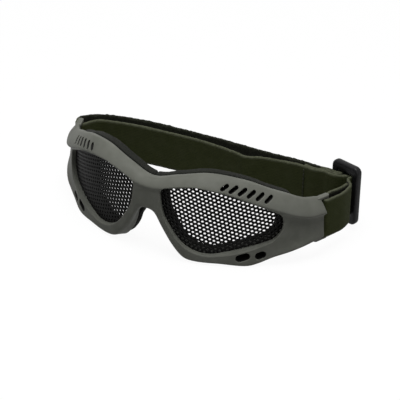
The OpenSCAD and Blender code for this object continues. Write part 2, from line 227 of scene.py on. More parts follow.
@dataclass(frozen=True)
class MouldedPlastic:
    """Matt grey-green plastic with the fine grain of its mould."""

    light: tuple = (0.110, 0.113, 0.098)
    dark: tuple = (0.095, 0.098, 0.084)
    # painted shade colour for the walls inside the vents and air holes
    hollow_shade: tuple = (0.008, 0.008, 0.0075)
    gloss: float = 0.52
    shine: float = 0.08

    def material(self) -> bpy.types.Material:
        """Returns the material."""
        return self.made("moulded_plastic", self.dark, self.light, self.shine)

    def hollow_shade_material(self) -> bpy.types.Material:
        """Returns the material of the insides of the holes, which are painted dark as shade."""
        return self.made("moulded_plastic_hollow_shade", self.hollow_shade, self.hollow_shade, 0.1)

    def made(self, name: str, dark: tuple, light: tuple, shine: float) -> bpy.types.Material:
        """Returns the plastic between two colours, with cloudy tone, rubbed patches and mould grain."""
        s = Shader(name)
        cloud, grain, speck = s.noise(9, 3), s.noise(0.42, 2), s.noise(1.6, 2)
        rubbed = s.noise(14, 6, 0.62).above(0.56, 0.7)
        colour = s.mix(cloud.above(0.3, 0.7), dark, light)
        colour = s.mix(rubbed * 0.16, colour, tuple(1.5 * v for v in light))
        return s.finish(Base_Color=colour, Roughness=self.gloss + (speck - 0.5) * 0.1 - rubbed * 0.06,
                        Normal=s.bump(grain + speck * 0.5, 0.045, 0.5), Specular_IOR_Level=shine)


@dataclass(frozen=True)
class CoatedSteel:
    """Steel sheet under a thin black coat, with a little of it worn off."""

    coat: tuple = (0.004, 0.004, 0.0037)
    worn: tuple = (0.032, 0.031, 0.028)

    def material(self) -> bpy.types.Material:
        """Returns the material."""
        s = Shader("coated_steel")
        wear = s.noise(5, 8, 0.68).above(0.62, 0.78)
        peel = s.noise(0.5, 3)
        return s.finish(Base_Color=s.mix(wear * 0.45, self.coat, self.worn), Metallic=wear * 0.5,
                        Roughness=0.5 + (peel - 0.5) * 0.16, Normal=s.bump(peel, 0.03, 0.5),
                        Specular_IOR_Level=0.06)


@dataclass(frozen=True)
class OpenFoam:
    """Black foam with open cells."""

    skin: tuple = (0.017, 0.018, 0.015)
    pore: tuple = (0.0035, 0.0035, 0.003)

    def material(self) -> bpy.types.Material:
        """Returns the material."""
        s = Shader("open_foam")
        wall = s.cells(0.75).above(0.12, 0.5)
        fine = s.noise(0.3, 2)
        colour = s.mix(wall * (0.55 + fine * 0.6), self.pore, self.skin)
        return s.finish(Base_Color=colour, Roughness=0.94, Normal=s.bump(wall + fine * 0.6, 0.22, 0.8),
                        Specular_IOR_Level=0.08, Sheen_Weight=0.03, Sheen_Roughness=0.5)


@dataclass(frozen=True)
class Elastic:
    """Elastic webbing: olive on one face, black pile on the other, and a pale painted highlight along both
    edges, mottled unevenly.
    """

    olive: tuple = (0.033, 0.039, 0.0135)
    olive_dark: tuple = (0.019, 0.0225, 0.0075)
    faded: tuple = (0.040, 0.044, 0.022)
    pile: tuple = (0.0090, 0.0097, 0.0062)
    tufts: tuple = (0.0175, 0.019, 0.0125)
    # painted highlight colour for the strap's two edges
    edge_highlight: tuple = (0.060, 0.064, 0.042)
    rib_mm: float = 1.05
    pick_mm: float = 0.62

    def material(self) -> bpy.types.Material:
        """Returns the material, which follows the strap by its UV map, in millimetres along and across."""
        s = Shader("elastic")
        along, across = s.weave()
        olive, edge = s.attribute("side").above(-0.3, 0.2), s.attribute("edge")
        rib = (across * (2 * math.pi / self.rib_mm)).sine() * 0.5 + 0.5
        half = (across * (math.pi / self.rib_mm)).sine().above(-0.05, 0.05)
        pick = ((along * (2 * math.pi / self.pick_mm)) + half * math.pi).sine() * 0.5 + 0.5
        knit = (1 - (1 - rib) ** 2) * 0.6 + pick * rib * 0.4
        fuzz, patch, tuft = s.noise(0.32, 3), s.noise(7, 3), s.noise(1.1, 3)
        face = s.mix(knit * 0.7 + fuzz * 0.45 - 0.1, self.olive_dark, self.olive)
        face = s.mix(patch.above(0.35, 0.75) * 0.3, face, self.faded)
        back = s.mix(tuft.above(0.35, 0.7), self.pile, self.tufts)
        colour = s.mix(olive, back, face)
        # worn is the unevenly mottled share of the painted edge highlight
        worn = edge * (0.45 + 0.75 * tuft.above(0.3, 0.65))
        colour = s.mix(worn, colour, self.edge_highlight)
        height = olive * knit * 0.7 + fuzz * 0.5 + (1 - olive) * tuft
        return s.finish(Base_Color=colour, Roughness=0.9, Normal=s.bump(height, 0.16, 0.8),
                        Specular_IOR_Level=0.08, Sheen_Weight=0.02, Sheen_Roughness=0.4)


@dataclass(frozen=True)
class Thread:
    """Dark twisted thread, with a painted highlight on the crests of its plies."""

    colour: tuple = (0.012, 0.013, 0.008)
    ply_highlight: tuple = (0.026, 0.028, 0.017)

    def material(self) -> bpy.types.Material:
        """Returns the material, whose twist follows the UV map of each stitch."""
        s = Shader("thread")
        along, turn = s.weave()
        ply = (along * 14 + turn * (2 * math.pi)).sine() * 0.5 + 0.5
        # the ply crests, which the bump raises, take the painted highlight colour
        return s.finish(Base_Color=s.mix(ply, self.colour, self.ply_highlight), Roughness=0.6,
                        Normal=s.bump(ply, 0.06, 0.8), Specular_IOR_Level=0.15)


@dataclass(frozen=True)
class GlossyPlastic:
    """Black plastic of the slider, with a soft gloss and a few fine rubs."""

    base: tuple = (0.0065, 0.0065, 0.007)
    rub: tuple = (0.021, 0.021, 0.0225)

    def material(self) -> bpy.types.Material:
        """Returns the material."""
        s = Shader("glossy_plastic")
        rubbed = s.noise(2.6, 7, 0.7).above(0.52, 0.7)
        grain = s.noise(0.35, 2)
        return s.finish(Base_Color=s.mix(rubbed * 0.5, self.base, self.rub), Roughness=0.36 + rubbed * 0.16,
                        Normal=s.bump(grain, 0.03, 0.5), Specular_IOR_Level=0.12)


# Surfaces


@dataclass
class Skin:
    """A surface: points in millimetres above the lowest rim, and faces of three or more of them."""

    points: np.ndarray
    faces: list
    uv: Optional[np.ndarray] = None
    marks: dict = field(default_factory=dict)

    def mirrored(self) -> "Skin":
        """Returns the surface on the other side of the nose, still facing outwards."""
        return Skin(self.points * [-1, 1, 1], [f[::-1] for f in self.faces])

    @staticmethod
    def joined(skins: Sequence["Skin"]) -> "Skin":
        """Returns several surfaces as one."""
        starts = np.cumsum([0] + [len(s.points) for s in skins[:-1]])
        faces = [[i + int(a) for i in f] for s, a in zip(skins, starts) for f in s.faces]
        return Skin(np.concatenate([s.points for s in skins]), faces)

    @staticmethod
    def both(skins: Sequence["Skin"]) -> "Skin":
        """Returns surfaces and their mirror images as one surface."""
        return Skin.joined([*skins, *(s.mirrored() for s in skins)])


def circle(count: int) -> np.ndarray:
    """Returns points all round the unit circle."""
    g = np.linspace(0, 2 * math.pi, count, endpoint=False)
    return np.stack([np.cos(g), np.sin(g)], -1)


def superellipse(count: int, power: float) -> np.ndarray:
    """Returns points round a unit circle that is squared up by a power of its cosine and sine."""
    ring = circle(count)
    return np.sign(ring) * np.abs(ring) ** power


def softened(noise: np.ndarray, axis: int) -> np.ndarray:
    """Returns noise in which each value counts twice and its two neighbours along an axis once."""
    return (np.roll(noise, 1, axis) + 2 * noise + np.roll(noise, -1, axis)) / 4


def tube(rings: np.ndarray, loop: bool = False) -> Skin:
    """Makes a solid through rings of points.

    Args:
        rings: an array of rings, points and coordinates; each ring closes on itself.
        loop: whether the last ring joins the first; otherwise a flat face closes each end.

    Returns:
        The surface.
    """
    n, m = rings.shape[:2]
    i, j = np.meshgrid(np.arange(n if loop else n - 1), np.arange(m), indexing="ij")
    k, p = (i + 1) % n, (j + 1) % m
    faces = np.stack([i * m + j, i * m + p, k * m + p, k * m + j], -1).reshape(-1, 4).tolist()
    if not loop:
        faces += [list(range(m))[::-1], list(range((n - 1) * m, n * m))]
    return Skin(rings.reshape(-1, 3), faces)


def tube_map(along: np.ndarray, around: np.ndarray) -> np.ndarray:
    """Returns the UV map of an open tube, from a number for each ring and one for each point of a ring, whose
    first point comes again at its end; its two flat ends have none."""
    i, j = np.meshgrid(np.arange(len(along) - 1), np.arange(len(around) - 1), indexing="ij")
    corner = [np.stack([along[a], around[b]], -1) for a, b in ((i, j), (i, j + 1), (i + 1, j + 1), (i + 1, j))]
    return np.concatenate([np.stack(corner, 2).reshape(-1, 2), np.zeros((2 * len(around) - 2, 2))])


def upright(outline: np.ndarray, low: float, high: float) -> Skin:
    """Makes an upright solid from its outline, seen from above, and its two heights."""
    return tube(np.array([np.column_stack([outline, np.full(len(outline), z)]) for z in (low, high)]))


def reshaped(mesh: bpy.types.Mesh, merge_mm: float = 0.0, outward: bool = True) -> None:
    """Joins those points of a mesh that nearly touch, and turns its faces outwards.

    Args:
        mesh: the mesh, which is changed.
        merge_mm: how near its points are joined; 0 joins none.
        outward: whether the faces are turned.
    """
    shaped = bmesh.new()
    shaped.from_mesh(mesh)
    if merge_mm:
        bmesh.ops.remove_doubles(shaped, verts=shaped.verts, dist=merge_mm * MM)
    if outward:
        bmesh.ops.recalc_face_normals(shaped, faces=shaped.faces)
    shaped.to_mesh(mesh)
    shaped.free()


def mesh_of(name: str, skin: Skin, scale: float = MM, outward: bool = True) -> bpy.types.Mesh:
    """Puts a surface into a mesh.

    Args:
        name: the mesh's name.
        skin: the surface.
        scale: what a millimetre becomes.
        outward: whether its faces are turned outwards.

    Returns:
        The mesh, smooth all over.
    """
    made = bpy.data.meshes.new(name)
    shift = np.array([0, 0, -ARCH_H])
    made.from_pydata(((skin.points + shift) * scale).tolist(), [], skin.faces)
    if skin.uv is not None:
        layer = made.uv_layers.new(name="weave")
        layer.data.foreach_set("uv", skin.uv.astype(np.float32).ravel())
    for key, values in skin.marks.items():
        mark = made.attributes.new(key, "FLOAT", "POINT")
        mark.data.foreach_set("value", values.astype(np.float32).ravel())
    if outward:
        reshaped(made)
    made.shade_smooth()
    return made


def add_object(name: str, mesh: bpy.types.Mesh) -> bpy.types.Object:
    """Returns a new object at the origin that shows a mesh."""
    made = bpy.data.objects.new(name, mesh)
    bpy.context.scene.collection.objects.link(made)
    return made


def baked(piece: bpy.types.Object) -> bpy.types.Mesh:
    """Returns a piece's mesh with its modifiers applied."""
    graph = bpy.context.evaluated_depsgraph_get()
    return bpy.data.meshes.new_from_object(piece.evaluated_get(graph), depsgraph=graph)


def carve(body: bpy.types.Object, tool: Skin, operation: str = "DIFFERENCE", overlap: bool = False,
          inside: Optional[bpy.types.Material] = None) -> None:
    """Cuts a surface out of a body, or adds it.

    Args:
        body: the object, in millimetres.
        tool: a closed surface.
        operation: DIFFERENCE or UNION.
        overlap: whether the tool's own parts overlap each other.
        inside: the material that the cut faces get, or the body's own.
    """
    cutter = add_object("cutter", mesh_of("cutter", tool, 1.0))
    cutter.data.materials.append(inside or body.data.materials[0])
    step = body.modifiers.new("carve", "BOOLEAN")
    step.operation, step.solver, step.object, step.use_self = operation, "EXACT", cutter, overlap
    step.material_mode = "TRANSFER"
    bpy.context.view_layer.update()
    old, body.data = body.data, baked(body)
    body.modifiers.clear()
    bpy.data.objects.remove(cutter)
    bpy.data.meshes.remove(old)


# The wrapped front


def hermite(table: Sequence[Sequence[float]], x: np.ndarray) -> np.ndarray:
    """Smooth curve through a table's points, level at its start: each span joins its two ends by a cubic
    whose slope at a point is that of the line between the point's neighbours.

    Args:
        table: rising places, each with its value.
        x: the places that are wanted.

    Returns:
        The values there.
    """
    place, value = np.array(table, float).T
    slope = np.gradient(value)
    slope[1:-1] = (value[2:] - value[:-2]) / (place[2:] - place[:-2])
    slope[0], slope[-1] = 0, (value[-1] - value[-2]) / (place[-1] - place[-2])
    i = np.clip(np.searchsorted(place, x, side="right") - 1, 0, len(place) - 2)
    width = place[i + 1] - place[i]
    t = (x - place[i]) / width
    s = t * t * (3 - 2 * t)
    bend = slope[i] * width * t * (1 - t) ** 2 - slope[i + 1] * width * t * t * (1 - t)
    return value[i] * (1 - s) + value[i + 1] * s + bend


def rounded(corners: Sequence[Sequence[float]], offset: float = 0.0, steps: int = 14) -> np.ndarray:
    """Closed outline of straight sides and round corners: each corner is an arc about the point that lies
    its radius away from both sides.

    Args:
        corners: across, up and radius of each corner, in order.
        offset: how far the outline is moved outwards.
        steps: spans in each arc.

    Returns:
        The outline's points.
    """
    c = np.array(corners, float)
    p, radius = c[:, :2], c[:, 2]
    u, v = np.roll(p, 1, 0) - p, np.roll(p, -1, 0) - p
    u /= np.linalg.norm(u, axis=1)[:, None]
    v /= np.linalg.norm(v, axis=1)[:, None]
    half = np.arccos((u * v).sum(1)) / 2
    middle = (u + v) / np.linalg.norm(u + v, axis=1)[:, None]
    centre = p + middle * (radius / np.sin(half))[:, None]
    start = np.arctan2(-middle[:, 1], -middle[:, 0])
    turn = np.sign(u[:, 0] * v[:, 1] - u[:, 1] * v[:, 0])
    g = start[:, None] - (turn * (math.pi / 2 - half))[:, None] * (2 * np.arange(steps + 1) / steps - 1)
    arcs = np.stack([np.cos(g), np.sin(g)], -1)
    return (centre[:, None] + (radius + offset)[:, None, None] * arcs).reshape(-1, 2)


@dataclass(frozen=True)
class Wrap:
    """Sizes of the wrapped front, in millimetres and degrees: radii are from the upright wrap axis, heights
    are from the lowest rim, and each table gives a value for an angle from the nose."""

    front_r: float = 97.0
    axis_y: float = 95.0
    lens_r: float = 94.0
    lens_t: float = 0.8
    lens_yaw: float = 26.0
    temple_a: float = 63.8
    tip_a: float = 64.6
    top_edge: tuple = ((0, 48.2), (10.4, 52.6), (22.1, 56.2), (35, 52.8), (45, 46.3), (56.8, 39),
                       (61.8, 37.8), (63.2, 36.6), (64, 34.6), (64.6, 32))
    ridge: tuple = ((0, 44), (7.02, 45.7), (16.12, 49.6), (26, 49), (35, 44), (45, 37), (53, 31.4),
                    (57.8, 29.2), (64.6, 28.6))
    low_edge: tuple = ((0, ARCH_H), (3, 26.6), (6, 18.3), (10, 9.6), (14, 3), (18, 1.3), (27, 1.1), (36, 0),
                       (40, 1.5), (46, 5.6), (57.8, 10.7), (64.6, 12.6))
    top_r: tuple = ((0, 93), (12, 91.6), (40, 91), (56.8, 92.4), (64.6, 93))
    back_r: tuple = ((0, 88), (50, 88), (56.8, 91.2), (64.6, 91.2))
    overhang: tuple = ((0, 0.4), (16, 0.9), (40, 1.3), (52, 2), (57.8, 2.1), (64.6, 1.5))
    flare: tuple = ((0, 0), (41, 0), (46, 0.8), (51, 1.8), (57, 1.8), (64.6, 0.7))
    rounding: tuple = ((0, 1.6), (3.5, 4.6), (7, 4.6), (10.5, 2.6), (14, 1.7), (20, 1.2), (64.6, 1.2))
    drop: tuple = ((0, -0.5), (2.8, -2.5), (5, -4.4), (6, -3.6), (7.2, 0.9), (8.8, 3.3), (11.6, 3.7),
                   (14, 2.2), (17.5, 0.7), (22, 0), (64.6, 0))
    waist: tuple = ((0, 0), (44, 0), (52, 0.6), (64.6, 0.6))
    corner_reach: tuple = (1.0, 1.6, 2.0, 3.0, 3.4, 1.1, 0.9, 4.0, 4.0, 0.8, 0.8, 0.9, 1.2, 1.2, 0.9)
    spans: tuple = (1, 1, 2, 16, 1, 1, 3, 3, 2, 1, 2, 1, 16, 1, 2)
    turn_points: int = 5
    outer_corners: int = 10
    opening: tuple = ((-34, 43.9, 4), (-14, 49, 19), (7.5, 45.3, 33), (35.8, 31.5, 6.4), (36.6, 17.2, 11.5),
                      (-16.4, 3, 22.5), (-32.3, 28.1, 26.5))

    def at(self, radius: np.ndarray, angle: np.ndarray, height: np.ndarray) -> np.ndarray:
        """Returns points from their radius, angle in degrees and height."""
        a = np.radians(angle)
        return np.stack(np.broadcast_arrays(radius * np.sin(a), self.axis_y - radius * np.cos(a), height), -1)

    def corners(self, angle: np.ndarray) -> np.ndarray:
        """Returns the fifteen corners of the frame's section, as radius and height, from the lower outer edge
        up the outside and down the inside."""
        x = np.abs(angle)
        low, ridge, top, rt, rb, over, flare, c, w = (hermite(t, x) for t in (
            self.low_edge, self.ridge, self.top_edge, self.top_r, self.back_r, self.overhang, self.flare,
            self.rounding, self.waist))
        sunk = np.maximum(low - hermite(self.drop, x), 0.1)
        r = self.front_r
        brow, rise = rt - r - over, top - ridge
        pairs = ((r + flare - 1 - 0.3 * c, 0.8 * low + 0.2 * sunk), (r + flare - 0.12 * c, low + 0.4 * c),
                 (r + flare, low + c + 0.6), (r + 0.5 * flare - 0.5 * w, low + c + 4), (r - w, ridge - 2.2),
                 (r + 0.8 * over, ridge - 0.9), (r + over, ridge + 0.2),
                 (r + over + 0.3 * brow + 0.6, ridge + 0.33 * rise),
                 (r + over + 0.7 * brow + 0.6, ridge + 0.72 * rise), (rt + 0.5, top - 0.5), (rt - 0.5, top),
                 (np.minimum(rb + 0.9, rt - 1.1), top - 0.2), (rb, top - 1), (rb, sunk + 1), (rb + 0.9, sunk))
        return np.stack([np.stack(p, -1) for p in pairs], 1)

    def section(self, angle: np.ndarray) -> np.ndarray:
        """Returns the frame's sections with each corner turned into a parabola that leaves both of its sides
        smoothly, and with long sides divided."""
        p = self.corners(angle)

        def towards(q: np.ndarray) -> np.ndarray:
            """Returns the points where the parabola leaves the sides that go to q."""
            way = q - p
            length = np.maximum(np.linalg.norm(way, axis=-1), 1e-6)
            return p + way * np.minimum(0.48, np.array(self.corner_reach) / length)[..., None]

        a, b = towards(np.roll(p, 1, 1)), towards(np.roll(p, -1, 1))
        t = np.linspace(0, 1, self.turn_points)[:, None]
        bands = []
        for i, spans in enumerate(self.spans):
            first, corner, last = (v[:, i, None] for v in (a, p, b))
            bands.append((1 - t) ** 2 * first + 2 * t * (1 - t) * corner + t * t * last)
            s = np.linspace(0, 1, spans + 1)[1:-1, None]
            if len(s):
                after = a[:, (i + 1) % len(self.spans), None]
                bands.append((1 - s) * b[:, i, None] + s * after)
        return np.concatenate(bands, 1)

    def face_radius(self, angle: np.ndarray, height: np.ndarray) -> np.ndarray:
        """Returns the radius of the outer face: the section's outer side, read at a height."""
        sides = self.spans[:self.outer_corners]
        count = self.turn_points * (len(sides) + 1) + sum(n - 1 for n in sides)
        flat, shape = np.ravel(angle), np.shape(angle)
        side = self.section(flat)[:, :count]
        rise = np.maximum(np.diff(side[..., 1]), 1e-6)
        share = np.clip((np.ravel(height)[:, None] - side[:, :-1, 1]) / rise, 0, 1)
        return (side[:, 0, 0] + (share * np.diff(side[..., 0])).sum(1)).reshape(shape)

    def onto_face(self, start: np.ndarray, way: np.ndarray) -> np.ndarray:
        """Returns how far points have to go along a direction to reach the outer face, by repeated steps
        that each take up most of the radial gap."""
        run = np.zeros(start.shape[:-1])
        for _ in range(16):
            q = start + run[..., None] * way
            angle = np.degrees(np.arctan2(q[..., 0], self.axis_y - q[..., 1]))
            radial = np.stack([np.sin(np.radians(angle)), -np.cos(np.radians(angle))], -1) @ way[:2]
            gap = self.face_radius(angle, q[..., 2]) - np.hypot(q[..., 0], self.axis_y - q[..., 1])
            run = run + 0.8 * gap / np.maximum(radial, 0.5)
        return run


WRAP = Wrap()


def axes_at(angle: float, tilt: float = 0.0, lean: float = 0.0) -> np.ndarray:
    """Returns the across, up and outward directions of a cutter that faces an angle, tilted up and then
    leant about its own axis, all in degrees."""
    a, b, c = (math.radians(v) for v in (angle, tilt, lean))
    across = np.array([math.cos(a), math.sin(a), 0])
    out = np.array([math.cos(b) * math.sin(a), -math.cos(b) * math.cos(a), math.sin(b)])
    up = np.cross(out, across)
    return np.array([math.cos(c) * across + math.sin(c) * up, math.cos(c) * up - math.sin(c) * across, out])


def stadium(length: float, width: float, count: int = 28) -> tuple[np.ndarray, np.ndarray]:
    """Returns the points of an outline of two half circles and two straight sides, and the ways out of it."""
    g = (np.arange(count) + 0.5) / count * 2 * math.pi
    out = np.stack([np.cos(g), np.sin(g)], -1)
    return out * width / 2 + np.sign(out[:, :1]) * [(length - width) / 2, 0], out


def rolled_cut(outline: np.ndarray, out: np.ndarray, origin: np.ndarray, axes: np.ndarray, lip: float,
               back: float, flat: float = 0.0) -> Skin:
    """Makes a cutter whose mouth rounds the edge that it leaves on the frame's outer face: near the face its
    outline grows by the lip's radius times one less the cosine of the turn, and then it flares out.

    Args:
        outline: the hole's outline in its own plane.
        out: the directions out of it.
        origin: a point on the hole's axis.
        axes: the across, up and outward directions.
        lip: radius of the rounded edge.
        back: how far the cutter goes behind its origin.
        flat: extra outward growth at the face.

    Returns:
        The cutter.
    """
    steps = [(0.0, None)] + [(flat + lip * (1 - math.cos(t)), lip * (math.sin(t) - 1)) for t in LIP_TURNS]
    wider, clear = 1.2, 0.6
    grow, depth = steps[-1]
    steps.append((grow + wider, depth + wider / math.tan(LIP_TURNS[-1]) + clear))
    rings = []
    for grow, depth in steps:
        start = origin + (outline + out * grow) @ axes[:2]
        run = np.full(len(start), -back) if depth is None else WRAP.onto_face(start, axes[2]) + depth
        rings.append(start + run[:, None] * axes[2])
    return tube(np.array(rings))


@dataclass
class FrameMoulding:
    """The moulded frame with its vents, air holes, lens seats and strap bars."""

    vents: int = 6
    vent_a: float = 27.6
    vent_step: float = 3.05
    vent_l: float = 6.1
    first_vent_less: float = 0.8
    vent_w: float = 2.2
    vent_lean: float = 33.0
    vent_tilt: float = 12.0
    vent_rise: float = 0.38
    vent_rise_step: float = 0.02
    vent_lip: float = 0.35
    port_a: float = 34.6
    port_step: float = 6.1
    port_l: float = 7.6
    port_h: float = 3.7
    port_rise: float = 6.1
    port_lean: float = 18.0
    port_lip: float = 0.5
    port_scoop: float = 0.45
    lip_r: float = 0.8
    lip_out: float = 0.4
    lip_rise: float = 0.85
    seat_gap: float = 0.15
    seat_in: float = 1.5
    seat_out: float = 1.8
    slot_h: float = 25.6
    post_wrap_r: float = 91.8
    post_a: float = 66.5
    arm_t: float = 1.6
    fold_r: float = 4.1
    temple_low_h: float = 12.0
    temple_ridge_h: float = 28.6
    finish: MouldedPlastic = MouldedPlastic()

    def post(self) -> np.ndarray:
        """Returns the place of the upright bar, seen from above."""
        return WRAP.at(self.post_wrap_r, self.post_a, 0.0)[:2]

    def slot_ends(self) -> list[float]:
        """Returns the lowest and highest of the room beside each bar, which the strap goes through."""
        return [STRAP_H - self.slot_h / 2, STRAP_H + self.slot_h / 2]

    def shell(self) -> Skin:
        """Sweeps the section from temple to temple; over the last degree it shrinks towards its middle by a
        quarter circle, so that each end is rounded."""
        near = np.linspace(0, 16.8, 37)
        far = np.linspace(16.8, WRAP.tip_a - 3, 96)[1:]
        end = WRAP.tip_a - 3 + 3 * np.sin(np.linspace(0, math.pi / 2, 15))[1:]
        half = np.concatenate([near, far, end])
        angle = np.concatenate([-half[:0:-1], half])
        section = WRAP.section(angle)
        past = np.clip((np.abs(angle) - (WRAP.tip_a - 0.9)) / 0.9, 0, 1)[:, None, None]
        middle = section.mean(1, keepdims=True)
        section = middle + (section - middle) * (1 - 0.32 * (1 - np.sqrt(1 - 0.999 * past ** 2)))
        return tube(WRAP.at(section[..., 0], angle[:, None], section[..., 1]))

    def opening(self) -> Skin:
        """Makes the cutter of the lens opening: its outline from behind to the lens, then wider and taller
        towards a rounded lip on the outer face."""
        axes = axes_at(WRAP.lens_yaw)
        origin = np.array([0, WRAP.axis_y, 0])
        behind, before, near_face = 50.0, 104.0, 90
        low, high = (f(corner[1] for corner in WRAP.opening) for f in (min, max))
        steps = [(0.0, 0.0, Level.PLANE, behind), (0.0, 0.0, Level.WRAP, WRAP.lens_r - WRAP.lens_t)]
        steps += [(self.lip_out + self.lip_r * (1 - math.cos(t)), self.lip_rise, Level.FACE,
                   self.lip_r * (math.sin(t) - 1)) for t in LIP_TURNS]
        steps += [(self.lip_out + 2, self.lip_rise + 0.1, Level.FACE, 2 * self.lip_r),
                  (self.lip_out + 2.2, self.lip_rise + 0.1, Level.PLANE, before)]
        rings = []
        for grow, rise, level, depth in steps:
            flat = rounded(WRAP.opening, grow)
            flat[:, 1] += rise * (flat[:, 1] - low) / (high - low)
            start = origin + flat @ axes[:2]
            if level is Level.FACE:
                run = WRAP.onto_face(start + near_face * axes[2], axes[2]) + near_face + depth
            elif level is Level.WRAP:
                run = np.sqrt(depth ** 2 - flat[:, 0] ** 2)
            else:
                run = np.full(len(flat), depth)
            rings.append(start + run[:, None] * axes[2])
        return tube(np.array(rings))

    def seat(self) -> Skin:
        """Makes the cutter of the groove that holds the lens's edge: a band about the opening, between two
        radii that leave a gap on each side of the sheet."""
        axes = axes_at(WRAP.lens_yaw)
        inner, outer = WRAP.lens_r - WRAP.lens_t - self.seat_gap, WRAP.lens_r + self.seat_gap
        band = []
        for grow, radius in ((-self.seat_in, inner), (self.seat_out, inner), (self.seat_out, outer),
                             (-self.seat_in, outer)):
            flat = rounded(WRAP.opening, grow)
            run = np.sqrt(radius ** 2 - flat[:, 0] ** 2)
            band.append(flat @ axes[:2] + run[:, None] * axes[2])
        return tube(np.array(band).transpose(1, 0, 2) + [0, WRAP.axis_y, 0], loop=True)

    def slots(self) -> list[Skin]:
        """Returns the cutters of the vents that lean through the brow, the first one shorter: their middles lie
        at a share of the way from the brow's ridge to its top edge."""
        made = []
        for k in range(self.vents):
            a = np.array([self.vent_a + k * self.vent_step])
            share = self.vent_rise + self.vent_rise_step * k
            height = (1 - share) * hermite(WRAP.ridge, a) + share * hermite(WRAP.top_edge, a)
            radius = (1 - share) * (WRAP.front_r + hermite(WRAP.overhang, a)) + share * hermite(WRAP.top_r, a)
            outline, out = stadium(self.vent_l - (0 if k else self.first_vent_less), self.vent_w)
            made.append(rolled_cut(outline, out, WRAP.at(radius + 0.6, a, height)[0],
                                   axes_at(a[0], self.vent_tilt, self.vent_lean), self.vent_lip, 10))
        return made

    def air_holes(self) -> list[Skin]:
        """Returns the cutters of the two holes through the cheek rim, each with a scooped mouth."""
        made = []
        for k in range(2):
            a = np.array([self.port_a + self.port_step * k])
            height = hermite(WRAP.low_edge, a) + self.port_rise - 0.8 * k
            outline, out = stadium(self.port_l - 2 * k, self.port_h)
            axes = axes_at(a[0], 0, self.port_lean + 3 * k)
            made.append(rolled_cut(outline, out, WRAP.at(WRAP.front_r, a, height)[0], axes,
                                   self.port_lip, 12, self.port_scoop))
        return made

    @staticmethod
    def clear_lips(mesh: bpy.types.Mesh, depth: float = 0.4) -> None:
        """Gives the cut faces that lie less than a depth behind the outer face the frame's own plastic; deeper
        cut faces keep the painted shade.
        """
        count = len(mesh.polygons)
        centre, slot = np.zeros(count * 3), np.zeros(count, np.int32)
        mesh.polygons.foreach_get("center", centre)
        mesh.polygons.foreach_get("material_index", slot)
        centre = centre.reshape(-1, 3)
        x, y, z = centre[slot == 1].T
        angle = np.degrees(np.arctan2(x, WRAP.axis_y - y))
        behind = WRAP.face_radius(angle, z + ARCH_H) - np.hypot(x, WRAP.axis_y - y)
        slot[slot == 1] = np.where(behind < depth, 0, 1)
        mesh.polygons.foreach_set("material_index", slot)

    def fold_room(self) -> Skin:
        """Makes the cutter that leaves room for the strap's fold round the bar."""
        return upright(self.fold_r * circle(64) + self.post(), *self.slot_ends())

    def end_cut(self) -> Skin:
        """Makes the cutter that stops the wall short of the brow's tip, below the ridge: a block past the
        temple's angle that reaches across the wall."""
        a = math.radians(WRAP.temple_a)
        out, past = np.array([math.sin(a), -math.cos(a)]), np.array([math.cos(a), math.sin(a)])
        near, far, deep = 60, 105, 10
        block = [near * out, far * out, far * out + deep * past, near * out + deep * past]
        return upright(np.array(block) + [0, WRAP.axis_y], -1.0, self.temple_ridge_h - 0.6)

    @staticmethod
    def pin(place: Sequence[float], low: float, high: float, radius: float, edge: float = 0.4) -> np.ndarray:
        """Returns the points of an upright pin whose two ends are rounded by a quarter circle."""
        t = np.radians([0, 30, 60, 90])
        inset, less = edge * (1 - np.cos(t)), edge * (1 - np.sin(t))
        rings = [np.column_stack([circle(32) * (radius - i) + place, np.full(32, z)])
                 for i, z in [*zip(inset[::-1], (low + less)[::-1]), *zip(inset, high - less)]]
        return np.concatenate(rings)

    @staticmethod
    def hull(points: np.ndarray) -> Skin:
        """Returns the tight skin round points."""
        shaped = bmesh.new()
        for p in points:
            shaped.verts.new(p)
        made = bmesh.ops.convex_hull(shaped, input=shaped.verts)
        loose = {e for e in made["geom_interior"] + made["geom_unused"] if isinstance(e, bmesh.types.BMVert)}
        bmesh.ops.delete(shaped, geom=list(loose), context="VERTS")
        shaped.verts.index_update()
        faces = [[v.index for v in f.verts] for f in shaped.faces]
        skin = Skin(np.array([v.co for v in shaped.verts]), faces)
        shaped.free()
        return skin

    def bars(self) -> list[Skin]:
        """Returns the upright bar that the strap loops round, the two arms that carry it and the lower web."""
        post = self.post()
        low, high = self.slot_ends()
        root = WRAP.at(self.post_wrap_r + 0.8, WRAP.temple_a - 1.4, 0.0)[:2]
        foot = WRAP.at(self.post_wrap_r + 1.3, WRAP.temple_a - 3.4, 0.0)[:2]
        arms = [self.hull(np.concatenate([self.pin(post, h, h + self.arm_t, POST_R + 0.05),
                                          self.pin(root, h, h + self.arm_t, POST_R + 0.15)]))
                for h in (high, low - self.arm_t)]
        web = self.hull(np.concatenate([self.pin(root, low - self.arm_t, low + 3.5, POST_R + 0.1),
                                        self.pin(foot, self.temple_low_h, self.temple_low_h + 4, 1.5)]))
        bar = self.hull(self.pin(post, low - 0.6, high + 0.6, POST_R, 0.1))
        return [*arms, web, bar]

    def build(self) -> bpy.types.Object:
        """Carves the frame out of its plastic and returns it."""
        body = add_object("frame_moulding", mesh_of("frame_moulding", self.shell(), 1.0))
        body.data.materials.append(self.finish.material())
        # the cut faces of the vents and air holes get the painted shade material
        carve(body, Skin.both([*self.slots(), *self.air_holes()]), inside=self.finish.hollow_shade_material())
        self.clear_lips(body.data)
        carve(body, Skin.both([self.opening()]))
        carve(body, Skin.both([self.fold_room(), self.end_cut()]), overlap=True)
        carve(body, Skin.both([self.seat()]))
        carve(body, Skin.both(self.bars()), "UNION", overlap=True)
        body.data.transform(Matrix.Scale(MM, 4))
        reshaped(body.data, 0.004)
        body.data.shade_smooth()
        body.data.set_sharp_from_angle(angle=math.radians(34))
        return body

